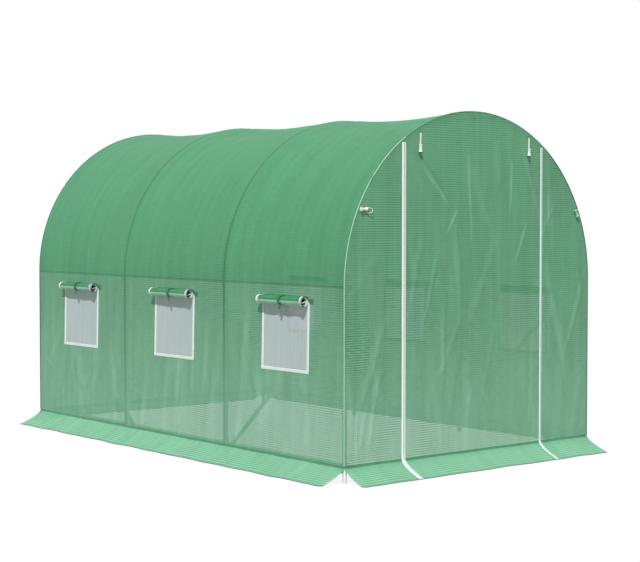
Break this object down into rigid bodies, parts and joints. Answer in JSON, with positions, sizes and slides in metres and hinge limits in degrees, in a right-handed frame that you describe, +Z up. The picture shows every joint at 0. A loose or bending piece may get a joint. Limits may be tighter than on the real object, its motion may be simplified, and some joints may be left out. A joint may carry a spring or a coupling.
{
  "type": "polytunnel greenhouse",
  "caption": "Walk-in polytunnel greenhouse: bolted tube hoops, rails and braces under a woven green cover with ground skirts, netted side windows with rolled flaps, and a zip door.",
  "frame": {"origin": "middle of the plan, on the ground that the legs and the skirt's hem stand on", "axes": "+Z up, -Y out of the door end, +X to the right for someone who faces the door from outside"},
  "size_m": [2.31, 3.6566, 2.0798],
  "materials": {
    "galvanised_tube": "galvanised",
    "green_cover": "woven, coated",
    "green_skirt": "woven, coated",
    "green_flap": "woven, coated",
    "insect_net": "fine net",
    "white_binding": "sewn tape",
    "white_zip": "woven tape and coil",
    "webbing": "woven",
    "cream_plastic": "moulded"
  },
  "bodies": {
    "root": {"door_panel": "green_cover", "door_skirt": "green_skirt", "door_ties": "webbing", "door_toggles": "cream_plastic", "edge_toggles": "cream_plastic", "front_base_rail": "galvanised_tube", "front_left_panel": "green_cover", "front_left_skirt": "green_skirt", "front_right_panel": "green_cover", "front_right_skirt": "green_skirt", "hoop_arch_1": "galvanised_tube", "hoop_arch_2": "galvanised_tube", "hoop_arch_3": "galvanised_tube", "hoop_arch_4": "galvanised_tube", "left_base_rail": "galvanised_tube", "left_braces": "galvanised_tube", "left_door_zip": "white_zip", "left_flap_rolls": "green_flap", "left_legs": "galvanised_tube", "left_purlin": "galvanised_tube", "left_roll_straps": "webbing", "left_skirt": "green_skirt", "left_wall": "green_cover", "left_window_nets": "insect_net", "left_window_trims": "white_binding", "rear_base_rail": "galvanised_tube", "rear_panel": "green_cover", "rear_skirt": "green_skirt", "ridge_pole": "galvanised_tube", "right_base_rail": "galvanised_tube", "right_braces": "galvanised_tube", "right_door_zip": "white_zip", "right_flap_rolls": "green_flap", "right_legs": "galvanised_tube", "right_purlin": "galvanised_tube", "right_roll_straps": "webbing", "right_skirt": "green_skirt", "right_wall": "green_cover", "right_window_nets": "insect_net", "right_window_trims": "white_binding", "roof_bay_1": "green_cover", "roof_bay_2": "green_cover", "roof_bay_3": "green_cover"}
  },
  "joints": []
}
